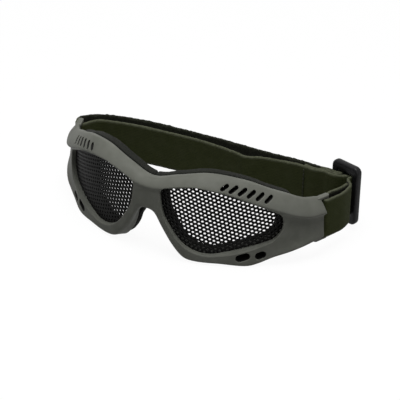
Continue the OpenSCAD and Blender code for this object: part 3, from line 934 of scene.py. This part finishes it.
    def dress(self, body: bpy.types.Object) -> None:
        """Puts the frame on its body."""
        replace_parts(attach(body, Body.GOGGLES.value), "frame_shell")
        LOG.info("frame moulding: %d faces", len(body.data.polygons))


@dataclass
class Lenses:
    """The two perforated steel lenses."""

    nodes: tuple = ("lens_left", "lens_right")
    finish: CoatedSteel = CoatedSteel()

    def build(self) -> list[bpy.types.Object]:
        """Copies each lens solid, joins its loose triangles and gives both faces the wrap's own normals."""
        made = []
        for node in self.nodes:
            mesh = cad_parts[node].data.copy()
            reshaped(mesh, 0.003, outward=False)
            mesh.shade_smooth()
            self.turn_normals(mesh)
            made.append(add_object(node.replace("lens", "mesh_lens"), mesh))
        return made

    @staticmethod
    def turn_normals(mesh: bpy.types.Mesh) -> None:
        """Turns each corner's normal to the radius of the wrap on the two large faces, and leaves it as its
        own face's on the walls of the holes and the rim."""
        count = len(mesh.loops)
        face = np.zeros(len(mesh.polygons) * 3)
        mesh.polygons.foreach_get("normal", face)
        total = np.zeros(len(mesh.polygons), int)
        mesh.polygons.foreach_get("loop_total", total)
        face = np.repeat(face.reshape(-1, 3), total, 0)
        corner, place = np.zeros(count, int), np.zeros(len(mesh.vertices) * 3)
        mesh.loops.foreach_get("vertex_index", corner)
        mesh.vertices.foreach_get("co", place)
        radial = place.reshape(-1, 3)[corner] - [0, WRAP.axis_y * MM, 0]
        radial[:, 2] = 0
        radial /= np.linalg.norm(radial, axis=1)[:, None]
        lean = (radial * face).sum(1)
        normal = np.where(np.abs(lean)[:, None] > 0.8, radial * np.sign(lean)[:, None], face)
        mesh.normals_split_custom_set(normal.tolist())

    def dress(self, lenses: Sequence[bpy.types.Object]) -> None:
        """Gives the lenses their coat and puts them on their body."""
        coat = self.finish.material()
        for lens, node in zip(lenses, self.nodes):
            lens.data.materials.clear()
            lens.data.materials.append(coat)
            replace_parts(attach(lens, Body.GOGGLES.value), node)
            LOG.info("%s: %d faces", lens.name, len(lens.data.polygons))


@dataclass
class FoamPads:
    """The soft ring behind each eye."""

    thickness: float = 5.0
    width: float = 12.0
    gap: float = 0.3
    rear_r: float = 88.0
    stations: int = 220
    around: int = 40
    corner_weight: float = 9.0
    least: float = 0.12
    lumps: float = 0.035
    finish: OpenFoam = OpenFoam()

    def covered(self, angle: np.ndarray, height: np.ndarray) -> np.ndarray:
        """Returns which places have the frame in front of them."""
        side = np.degrees(0.03 / self.rear_r)
        low = hermite(WRAP.low_edge, angle) - np.maximum(hermite(WRAP.drop, angle), 0) + 0.8
        return ((angle >= side) & (angle <= WRAP.temple_a - 7) & (height >= low)
                & (height <= hermite(WRAP.top_edge, angle) - 0.25))

    def ring(self) -> Skin:
        """Carries a squared-up ellipse round the opening, with closer stations where the opening turns; it
        reaches as far across as the frame covers it."""
        outline = rounded(WRAP.opening, 0.6, 24)
        closed = np.vstack([outline, outline[:1]])
        side = np.diff(closed, axis=0)
        heading = np.unwrap(np.arctan2(side[:, 1], side[:, 0]))
        whole = 2 * math.pi * np.sign(heading[-1] - heading[0])
        turning = np.abs(np.diff(np.append(heading, heading[0] + whole)))
        knots = np.concatenate([[0], np.cumsum(np.linalg.norm(side, axis=1) + self.corner_weight * turning)])
        even = np.linspace(0, knots[-1], self.stations, endpoint=False)
        p = np.stack([np.interp(even, knots, closed[:, i]) for i in (0, 1)], -1)
        d = np.roll(p, -2, 0) - np.roll(p, 2, 0)
        out = np.stack([-d[:, 1], d[:, 0]], -1) / np.linalg.norm(d, axis=1)[:, None] * self.width
        angle = WRAP.lens_yaw + np.degrees(np.arcsin(p[:, 0] / WRAP.front_r))
        turn = math.degrees(1 / self.rear_r)
        share = np.full(self.stations, self.least)
        for t in np.arange(self.least, 1.001, 0.005):
            share = np.where(self.covered(angle + out[:, 0] * t * turn, p[:, 1] + out[:, 1] * t), t, share)
        cross, deep = 0.5 + 0.5 * superellipse(self.around, 0.34).T
        noise = np.random.default_rng(5).normal(0, 1, (self.stations, self.around))
        lump = 1 + self.lumps * softened(softened(noise, 0), 1) * (deep > 0.3)
        a = angle[:, None] + turn * out[:, :1] * share[:, None] * cross
        radius = hermite(WRAP.back_r, np.abs(a)) - self.gap - deep * lump * self.thickness
        height = p[:, 1:] + out[:, 1:] * share[:, None] * cross
        return tube(WRAP.at(radius, a, height), loop=True)

    def build(self) -> list[bpy.types.Object]:
        """Makes both rings and returns them."""
        ring = self.ring()
        return [add_object(name, mesh_of(name, skin))
                for name, skin in (("foam_pad_left", ring), ("foam_pad_right", ring.mirrored()))]

    def dress(self, pads: Sequence[bpy.types.Object]) -> None:
        """Gives the rings their foam and puts them on their body."""
        foam = self.finish.material()
        for pad, node in zip(pads, ("foam_left", "foam_right")):
            pad.data.materials.append(foam)
            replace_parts(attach(pad, Body.GOGGLES.value), node)
            LOG.info("%s: %d faces", pad.name, len(pad.data.polygons))


@dataclass
class Strap:
    """The elastic: a sewn loop round the near bar, through the slider, round the back, through the far bar
    and back to a sewn loop on the slider's bar."""

    post: tuple
    slider: "Slider"
    width: float = 25.0
    thick: float = 1.6
    gap: float = 0.3
    step: float = 0.7
    furred: tuple = (92.0, 252.0)
    finish: Elastic = Elastic()

    def from_run(self, places: Sequence[Sequence[float]]) -> np.ndarray:
        """Returns points given as a share of the way from the far bar to the slider, and a bow to the rear."""
        far = np.array([-self.post[0], self.post[1]])
        p = np.array(places, float)
        return far + p[:, :1] * (np.array(self.slider.place) - far) + p[:, 1:] * [0, 1]

    def route(self) -> tuple[np.ndarray, int]:
        """Returns the points that the elastic follows, seen from above, and the number of the one in the slot
        where its two pieces meet."""
        half = self.thick / 2
        wrap = POST_R + self.gap + half
        loop_x, loop_y = (v / 2 + self.gap + half for v in (self.slider.bar_w, self.slider.bar_t))
        run_x, run_y = loop_x + self.thick + self.gap, loop_y + self.thick + self.gap
        lane = self.thick + 0.45
        front = -self.slider.thick / 2 - self.gap - half
        g = np.radians(np.arange(185, 356, 35))
        arc = wrap * np.stack([np.cos(g), np.sin(g)], -1)
        post, far = np.array(self.post), np.array([-self.post[0], self.post[1]])
        through = self.slider.spot([
            (run_x + 0.9, -5), (run_x + 0.1, -2.2), (run_x, 0), (run_x - 0.5, run_y - 1.5),
            (run_x - 2, run_y - 0.2), (0, run_y), (2 - run_x, run_y - 0.2), (0.5 - run_x, run_y - 1.5),
            (-run_x, 0), (-run_x - 0.05, -1.8), (-run_x - 0.35, -2.75), (-run_x - 1.1, front + 0.15),
            (-run_x - 2.4, front), (-run_x - 6, front)])
        outer = self.from_run([(0.885, 2.2), (0.81, 4.6), (0.66, 7.4), (0.57, 10), (0.4, 13.8), (0.18, 16.9),
                               (0.05, 14.6), (-0.005, 10.2), (-0.025, 5)])
        inner = self.from_run([(0.04, 6), (0.09, 8.4), (0.21, 9.2), (0.43, 6), (0.58, 0.2), (0.63, -2.9),
                               (0.66, -2.3), (0.69, -0.6), (0.78, 0.1), (0.84, -0.5), (0.885, -2.6)])
        loop = self.slider.spot([
            (-11, front - 2 * lane), (-7, front - 2 * lane), (-4, front - 1.7 * lane), (-1.6, front - lane),
            (0.6, -loop_y - 0.85), (loop_x - 0.15, 0.45 - loop_y), (loop_x + 0.05, 0),
            (loop_x - 0.35, loop_y - 0.45), (0.2, loop_y), (0.6 - loop_x, loop_y - 0.3), (-loop_x, 0.4),
            (-loop_x - 0.15, -1.4), (-loop_x - 0.75, front - 0.15 * lane),
            (-loop_x - 2.15, front - 0.75 * lane), (-loop_x - 4.5, front - lane), (-11, front - lane)])
        start = post + np.array([(2.6, 21), (2.2, 17.5), (0.9, 12.5), (-1, 7.5)])
        leave = post + np.array([(4.4, 5), (5.7, 10.5), (5.7, 16), (4.9, 21)])
        points = np.concatenate([start, post + arc, leave, through, outer, far + arc, inner, loop,
                                 self.from_run([(0.885, -1.0), (0.845, 1.1)])])
        return points, len(start) + len(arc) + len(leave) + 8

    def path(self) -> tuple[np.ndarray, np.ndarray, float]:
        """Joins the route by cubics whose slope at a point is that of the line between its neighbours, and
        spaces the result evenly.

        Returns:
            The points, their lengths along the elastic, and the length at which its two pieces meet.
        """
        p, meet = self.route()
        a, b = np.vstack([p[:1], p[:-2]]), p[:-1]
        c, d = p[1:], np.vstack([p[2:], p[-1:]])
        t = np.linspace(0, 1, 16, endpoint=False)[:, None]
        fine = (2 * b[:, None] + (c - a)[:, None] * t + (2 * a - 5 * b + 4 * c - d)[:, None] * t ** 2
                + (3 * b - a - 3 * c + d)[:, None] * t ** 3) / 2
        fine = np.vstack([fine.reshape(-1, 2), p[-1:]])
        run = np.concatenate([[0], np.cumsum(np.linalg.norm(np.diff(fine, axis=0), axis=1))])
        even = np.linspace(0, run[-1], int(run[-1] / self.step) + 1)
        return np.stack([np.interp(even, run, fine[:, i]) for i in (0, 1)], -1), even, float(run[16 * meet])

    def section(self) -> tuple[np.ndarray, np.ndarray]:
        """Returns the section of the elastic: a rectangle with rounded edges, across its thickness and along
        its width, and a number that is 1 on the two edges and 0 on the faces."""
        v = np.linspace(-1, 1, 19)[1:-1]
        g = np.radians(np.linspace(-90, 90, 7))
        t, w = self.thick, self.width
        edge = np.stack([np.sin(g) * t / 2, (w - t * 0.5) / 2 + np.cos(g) * t * 0.25], -1)
        right = np.stack([np.full(17, t / 2), -v * (w - t * 0.5) / 2], -1)
        points = np.concatenate([edge, right, edge[::-1] * [1, -1], right[::-1] * [-1, 1]])
        return points, np.concatenate([np.ones(7), np.zeros(17), np.ones(7), np.zeros(17)])

    def ribbon(self, path: np.ndarray, run: np.ndarray, seed: int) -> Skin:
        """Carries the section along a path; the edges stand out unevenly, as worn threads do.

        Args:
            path: the elastic's middle line, seen from above.
            run: the length along the elastic of each point.
            seed: of the uneven edges.

        Returns:
            The surface, with its UV map in millimetres along and across, and its marks for side and edge.
        """
        section, edge = self.section()
        way = np.gradient(path, axis=0)
        way /= np.linalg.norm(way, axis=1)[:, None]
        across = np.stack([way[:, 1], -way[:, 0]], -1)
        furred = ((run > self.furred[0]) & (run < self.furred[1]))[:, None] * edge
        fray = np.random.default_rng(seed).normal(0, 1, (len(path), len(section)))
        fray = softened(fray, 0) * (0.1 + 0.15 * furred) * edge
        height = STRAP_H + section[:, 1] + fray * np.sign(section[:, 1])
        flat = path[:, None] + across[:, None] * section[:, :1]
        skin = tube(np.concatenate([flat, height[..., None]], -1))
        sides = np.diff(np.vstack([section, section[:1]]), axis=0)
        skin.uv = tube_map(run, np.concatenate([[0], np.cumsum(np.linalg.norm(sides, axis=1))]))
        skin.marks = {"side": section[:, 0] * 2 / self.thick - 2 * furred, "edge": edge - furred}
        return skin

    def build(self) -> list[bpy.types.Object]:
        """Makes the loop at the near bar and the long run round the back, and returns them."""
        path, run, meet = self.path()
        cut = int(np.searchsorted(run, meet))
        made = []
        for name, part in (("strap_near_loop", slice(0, cut + 1)), ("strap_back_run", slice(cut, None))):
            mesh = mesh_of(name, self.ribbon(path[part], run[part], len(made) + 3), outward=False)
            made.append(add_object(name, mesh))
        return made

    def bend(self, piece: bpy.types.Object, near: bool) -> None:
        """Bakes a piece's place into its mesh."""
        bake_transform(piece)

    def dress(self, pieces: Sequence[bpy.types.Object]) -> None:
        """Gives the elastic its weave and bakes each piece's place into its mesh."""
        weave = self.finish.material()
        for i, piece in enumerate(pieces):
            piece.data.materials.append(weave)
            self.bend(piece, i == 0)
            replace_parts(piece, "strap")
            LOG.info("%s: %d faces", piece.name, len(piece.data.polygons))


@dataclass
class Stitching:
    """A row of upright stitches on each sewn end of the elastic."""

    strap: Strap
    count: int = 8
    radius: float = 0.35
    around: int = 12
    near_seam: tuple = (2.5, 19.5)
    far_seam: tuple = (0.85, -1.0)
    finish: Thread = Thread()

    def row(self, place: np.ndarray, face: np.ndarray) -> Skin:
        """Lays stitches one above another: each is a thread that leaves the elastic, runs along its face and
        goes back in, so that its middle line is raised by the root of a half ellipse.

        Args:
            place: the middle of the row, seen from above.
            face: the direction out of the elastic's face.

        Returns:
            The surface of all the stitches, with a UV map along and round each.
        """
        pitch = (self.strap.width - 3) / self.count
        t = np.linspace(-1, 1, 15)
        rise = np.sqrt(np.maximum(1 - t ** 4, 0)) * 0.55 - 0.5
        fat = self.radius * np.clip(np.sqrt(np.maximum(1 - np.abs(t) ** 6, 0)), 0.25, 1)
        ring = circle(self.around) @ np.array([[face[1], -face[0]], face])
        flat = place + rise[:, None, None] * face + fat[:, None, None] * ring
        skins, maps = [], []
        for k in range(self.count):
            level = STRAP_H + (k - (self.count - 1) / 2) * pitch + t * pitch * 0.38
            upward = np.broadcast_to(level[:, None, None], (*flat.shape[:2], 1))
            skins.append(tube(np.concatenate([flat, upward], -1)))
            maps.append(tube_map(level, np.arange(self.around + 1) / self.around))
        made = Skin.joined(skins)
        made.uv = np.concatenate(maps)
        return made

    def build(self) -> list[bpy.types.Object]:
        """Makes the row at the near loop and the row at the slider's loop, and returns them."""
        lift = self.strap.thick / 2 + self.radius + 0.1
        near = np.array(self.strap.post) + self.near_seam
        far = self.strap.from_run([self.far_seam])[0]
        rows = (("near_loop_stitches", near, np.array([-1.0, 0.0])),
                ("slider_loop_stitches", far, np.array([0.0, -1.0])))
        return [add_object(name, mesh_of(name, self.row(place + lift * face, face), outward=False))
                for name, place, face in rows]

    def dress(self, rows: Sequence[bpy.types.Object]) -> None:
        """Gives the stitches their thread and bakes each row's place into its mesh."""
        thread = self.finish.material()
        for i, (row, node) in enumerate(zip(rows, ("end_loop_stitching", "slider_loop_stitching"))):
            row.data.materials.append(thread)
            self.strap.bend(row, i == 0)
            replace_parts(row, node)
            LOG.info("%s: %d faces", row.name, len(row.data.polygons))


@dataclass
class Slider:
    """The sliding buckle: a rounded rim with a thinner bar between its two upright slots."""

    height: float = 38.0
    thick: float = 4.6
    side_w: float = 4.4
    slot_w: float = 4.1
    slot_h: float = 26.2
    bar_w: float = 3.0
    bar_t: float = 2.4
    corner: float = 3.5
    turn: float = 14.0
    place: tuple = (81.0, 90.39)
    finish: GlossyPlastic = GlossyPlastic()

    def outline(self, width: float, height: float, corner: float) -> np.ndarray:
        """Returns a rounded rectangle about the middle, with the same share of points on each side."""
        corners = [(x * width / 2, z * height / 2, corner) for x, z in ((-1, -1), (1, -1), (1, 1), (-1, 1))]
        arcs = rounded(corners, 0.0, 12).reshape(4, 13, 2)
        s = np.linspace(0, 1, 14)[1:-1, None]
        sides = [arcs[i, -1] * (1 - s) + arcs[(i + 1) % 4, 0] * s for i in range(4)]
        return np.concatenate([np.concatenate([arcs[i], sides[i]]) for i in range(4)])

    def rim(self) -> Skin:
        """Carries a superellipse round the rim, from the outer outline to the slots' outline and back."""
        width = 2 * (self.side_w + self.slot_w) + self.bar_w
        outer = self.outline(width, self.height, self.corner)
        inner = self.outline(width - 2 * self.side_w, self.slot_h, 0.7)
        out, deep = superellipse(28, 0.55).T
        flat = (outer + inner)[:, None] / 2 + (outer - inner)[:, None] / 2 * out[:, None]
        return tube(self.turned(flat[..., 0], deep * self.thick / 2, flat[..., 1]), loop=True)

    def bar(self) -> Skin:
        """Carries a superellipse from the rim's foot to its head, a little way into both."""
        x, y = superellipse(24, 0.6).T
        into = 1.6
        z = np.linspace(-self.slot_h / 2 - into, self.slot_h / 2 + into, 24)[:, None]
        return tube(self.turned(x * self.bar_w / 2, y * self.bar_t / 2, z))

    def spot(self, places: Sequence[Sequence[float]]) -> np.ndarray:
        """Returns points, seen from above, that are given across and behind the slider, turned with it."""
        c, s = math.cos(math.radians(self.turn)), math.sin(math.radians(self.turn))
        return np.array(self.place) + np.array(places, float) @ np.array([[c, -s], [s, c]])

    def turned(self, x: np.ndarray, y: np.ndarray, z: np.ndarray) -> np.ndarray:
        """Returns points across, behind and above the slider's middle, in their place on the strap."""
        x, y, z = np.broadcast_arrays(x, y, z)
        return np.concatenate([self.spot(np.stack([x, y], -1)), (STRAP_H + z)[..., None]], -1)

    def build(self) -> bpy.types.Object:
        """Joins the bar to the rim, in the slider's plastic, and returns the slider."""
        body = add_object("slider_buckle", mesh_of("slider_buckle", self.rim(), 1.0))
        body.data.materials.append(self.finish.material())
        carve(body, self.bar(), "UNION")
        body.data.transform(Matrix.Scale(MM, 4))
        body.data.shade_smooth()
        body.data.set_sharp_from_angle(angle=math.radians(40))
        return body

    def dress(self, body: bpy.types.Object) -> None:
        """Puts the slider on its body."""
        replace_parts(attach(body, Body.SLIDER.value), "slider")
        LOG.info("slider buckle: %d faces", len(body.data.polygons))


# The studio


@dataclass
class Studio:
    """The pale floor, the lamps and the camera at the photograph's angle."""

    azimuth: float = 30.0
    elevation: float = 29.5
    roll: float = 1.7
    focal_px: float = 2160.0
    px_per_mm: float = 1.75
    anchor: tuple = (0.0, 0.0, -1.1)
    anchor_px: tuple = (147.3, 209.1)
    frame_px: float = 400.0
    sky: float = 0.1
    floor_half: float = 6000.0
    floor_grey: tuple = (0.33, 0.33, 0.33)
    floor_glow: float = 1.1
    floor_share: float = 0.86
    aim: tuple = (0, 0.045, 0)
    lamps: tuple = (((0.05, -0.1, 1.0), 0.6, 14.0), ((0.95, -0.35, 0.45), 0.6, 1.4),
                    ((-0.9, -0.5, 0.5), 0.6, 0.2), ((0.2, 1.0, 0.7), 0.8, 0.8))

    def camera(self) -> None:
        """Places the camera so that the anchor lands on its pixel, and makes it the scene's."""
        az, el, roll = (math.radians(v) for v in (self.azimuth, self.elevation, self.roll))
        ahead = np.array([-math.sin(az) * math.cos(el), math.cos(az) * math.cos(el), -math.sin(el)])
        level = np.array([math.cos(az), math.sin(az), 0])
        plumb = np.cross(level, ahead)
        right = math.cos(roll) * level + math.sin(roll) * plumb
        up = math.cos(roll) * plumb - math.sin(roll) * level
        far = self.focal_px / self.px_per_mm
        half = self.frame_px / 2
        place = (np.array(self.anchor) - far * ahead - (self.anchor_px[0] - half) / self.px_per_mm * right
                 + (self.anchor_px[1] - half) / self.px_per_mm * up) * MM
        lens = bpy.data.cameras.new("photo_camera")
        lens.sensor_fit, lens.sensor_width = "HORIZONTAL", 36
        lens.lens = self.focal_px / self.frame_px * 36
        lens.clip_start, lens.clip_end = 0.05, 20
        made = bpy.data.objects.new("photo_camera", lens)
        bpy.context.scene.collection.objects.link(made)
        rows = np.stack([right, up, -ahead, place], -1).tolist()
        made.matrix_world = Matrix([*rows, [0, 0, 0, 1]])
        bpy.context.scene.camera = made

    def light(self) -> None:
        """Hangs soft square lamps round the goggles, each aimed at their middle."""
        for i, (place, size, power) in enumerate(self.lamps):
            lamp = bpy.data.lights.new(f"lamp_{i}", "AREA")
            lamp.size, lamp.energy = size, power
            made = bpy.data.objects.new(f"lamp_{i}", lamp)
            made.visible_camera = False
            bpy.context.scene.collection.objects.link(made)
            aim = Vector(self.aim) - Vector(place)
            made.matrix_world = Matrix.Translation(place) @ aim.to_track_quat("-Z", "Y").to_matrix().to_4x4()

    def world(self) -> None:
        """Makes a pale sky that is white to the camera, in gloss and through glass."""
        s = Shader("sky", sky=True)
        strength = s.node("ShaderNodeMapRange", {}, {"Value": s.seen(), "To Min": self.sky, "To Max": 1.0})
        bpy.context.scene.world = s.finish(Color=(1, 1, 1), Strength=strength)

    def floor(self) -> None:
        """Lays a large pale floor just under the lowest rim: where it is seen it is nearly white, and keeps a
        soft shadow."""
        side = self.floor_half * np.array([[-1, -1], [1, -1], [1, 1], [-1, 1]])
        skin = Skin(np.column_stack([side, np.full(4, -0.05)]), [[0, 1, 2, 3]])
        made = add_object("floor", mesh_of("floor", skin, outward=False))
        s = Shader("floor")
        glow = s.node("ShaderNodeEmission", {}, {"Color": (1, 1, 1), "Strength": self.floor_glow})
        share = s.seen() * self.floor_share
        blend = s.node("ShaderNodeMixShader", {}, {0: share, 1: Wire(s, s.surface.outputs[0]), 2: glow})
        s.put(s.tree.nodes["Material Output"].inputs["Surface"], blend)
        made.data.materials.append(s.finish(Base_Color=self.floor_grey, Roughness=0.9, Specular_IOR_Level=0.1))

    def build(self) -> None:
        """Sets up the whole studio."""
        self.camera()
        self.light()
        self.world()
        self.floor()
        bpy.context.scene.view_settings.view_transform = "Standard"


def main() -> None:
    """Builds the studio and every sub-assembly, and logs the face count of each finished piece."""
    logging.basicConfig(level=logging.INFO, format="%(message)s", stream=sys.stdout)
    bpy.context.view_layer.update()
    Studio().build()
    moulding = FrameMoulding()
    moulding.dress(moulding.build())
    lenses = Lenses()
    lenses.dress(lenses.build())
    pads = FoamPads()
    pads.dress(pads.build())
    slider = Slider()
    strap = Strap(tuple(moulding.post()), slider)
    strap.dress(strap.build())
    stitching = Stitching(strap)
    stitching.dress(stitching.build())
    slider.dress(slider.build())


if __name__ == "__main__":
    main()
